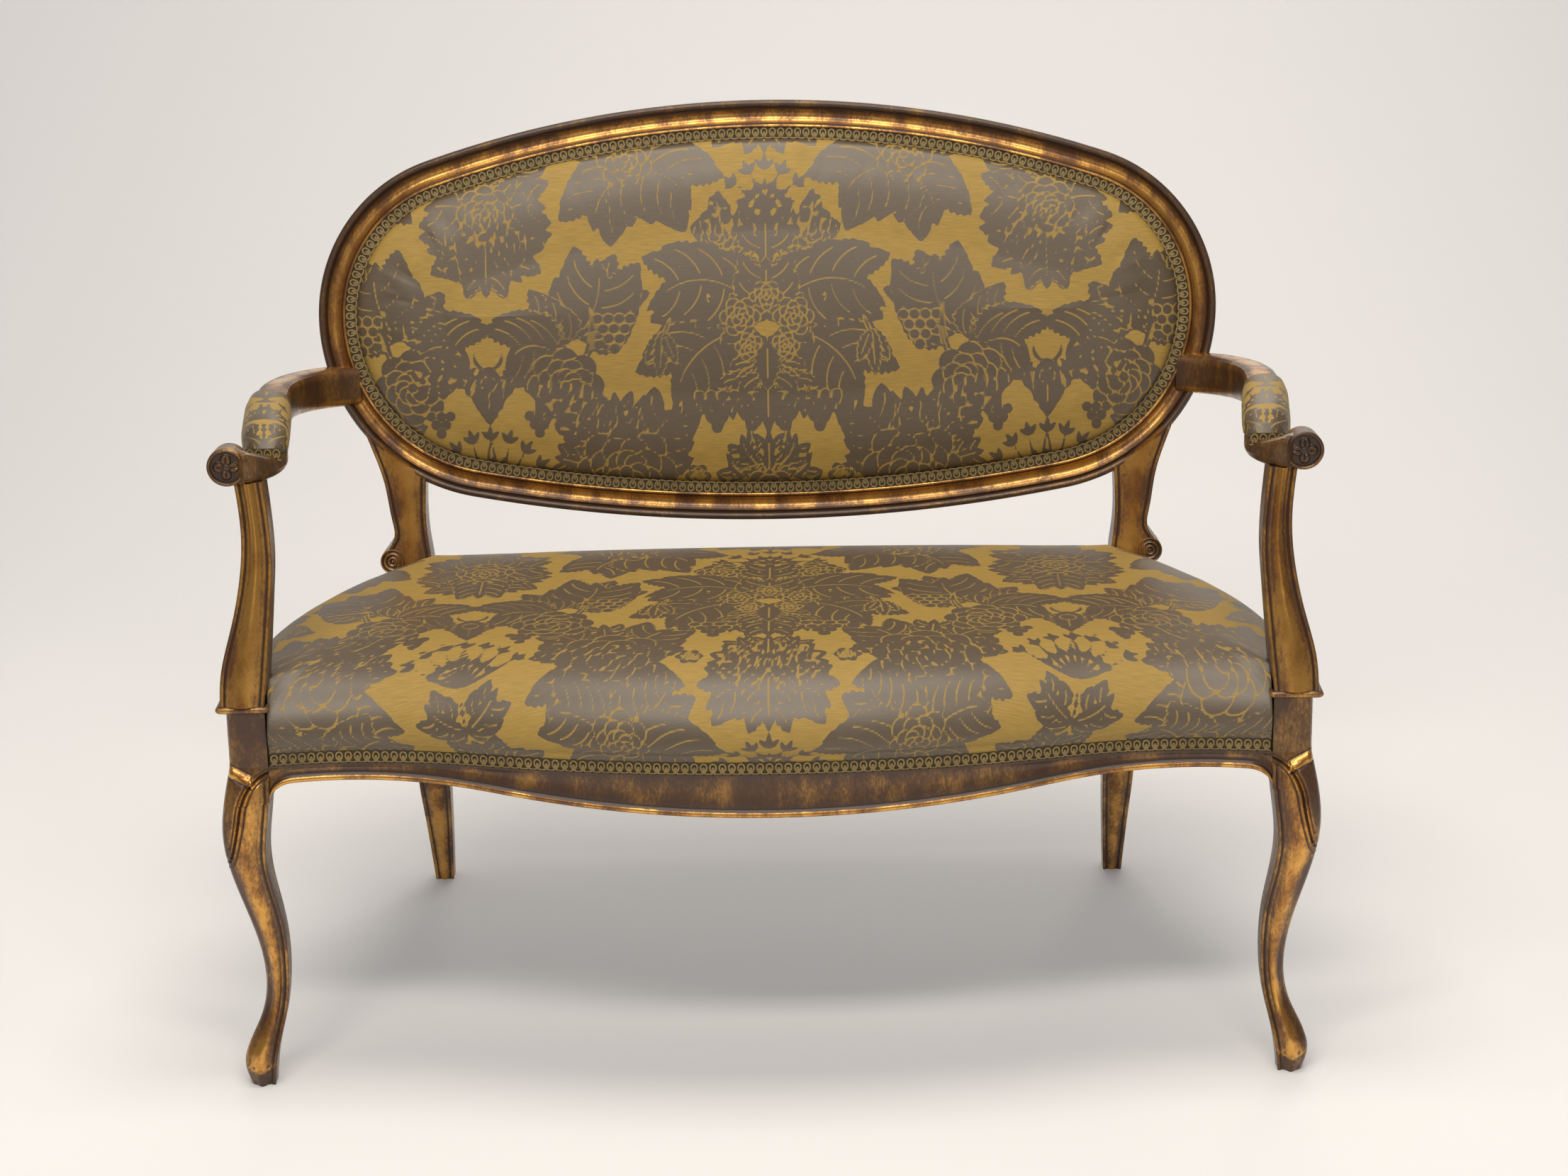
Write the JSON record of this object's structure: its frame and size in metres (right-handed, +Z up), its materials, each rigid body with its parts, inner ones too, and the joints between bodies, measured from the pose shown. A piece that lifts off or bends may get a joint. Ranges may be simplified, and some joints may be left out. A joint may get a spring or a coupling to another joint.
{
  "type": "settee",
  "caption": "Oval-back settee with a carved gilt wood frame, open padded arms, cabriole front legs and a sprung, stuffed-over seat in damask with gimp trim.",
  "frame": {"origin": "on the floor, below the middle of the settee's box", "axes": "+X to the settee's length, to the right when looking at its front; the sitter looks towards -Y; +Z up"},
  "size_m": [1.17, 0.6855, 0.9857],
  "materials": {
    "gilt_wood": "worn gilding over a brown ground, dark in the grooves",
    "bare_wood": "unfinished beech",
    "damask": "gold ground with a taupe satin figure",
    "gimp_braid": "woven scroll braid",
    "jute_webbing": "coarse jute",
    "hessian": "open plain weave",
    "stuffing": "curled hair and felt",
    "dust_cloth": "thin black cotton",
    "steel": "plain wire"
  },
  "bodies": {
    "root": {"arm_dowels": "bare_wood", "arm_gimp_left": "gimp_braid", "arm_gimp_right": "gimp_braid", "arm_left": "gilt_wood", "arm_pad_left": "damask", "arm_pad_right": "damask", "arm_right": "gilt_wood", "arm_support_left": "gilt_wood", "arm_support_right": "gilt_wood", "back_canvas": "hessian", "back_cover": "damask", "back_frame_dowels": "bare_wood", "back_gimp": "gimp_braid", "back_rail": "gilt_wood", "back_stile_left": "gilt_wood", "back_stile_right": "gilt_wood", "back_stuffing": "stuffing", "back_webbing": "jute_webbing", "bottom_rail": "gilt_wood", "corner_block_front_left": "bare_wood", "corner_block_front_right": "bare_wood", "corner_block_rear_left": "bare_wood", "corner_block_rear_right": "bare_wood", "corner_screws": "steel", "crest_rail": "gilt_wood", "dust_cover": "dust_cloth", "front_leg_left": "gilt_wood", "front_leg_right": "gilt_wood", "front_rail": "gilt_wood", "outside_back": "damask", "outside_back_gimp": "gimp_braid", "rail_dowels": "bare_wood", "rear_leg_left": "gilt_wood", "rear_leg_right": "gilt_wood", "seat_cover": "damask", "seat_gimp": "gimp_braid", "seat_springs": "steel", "seat_stuffing": "stuffing", "seat_webbing": "jute_webbing", "side_rail_left": "gilt_wood", "side_rail_right": "gilt_wood", "spring_canvas": "hessian", "stile_dowels": "bare_wood"}
  },
  "joints": []
}
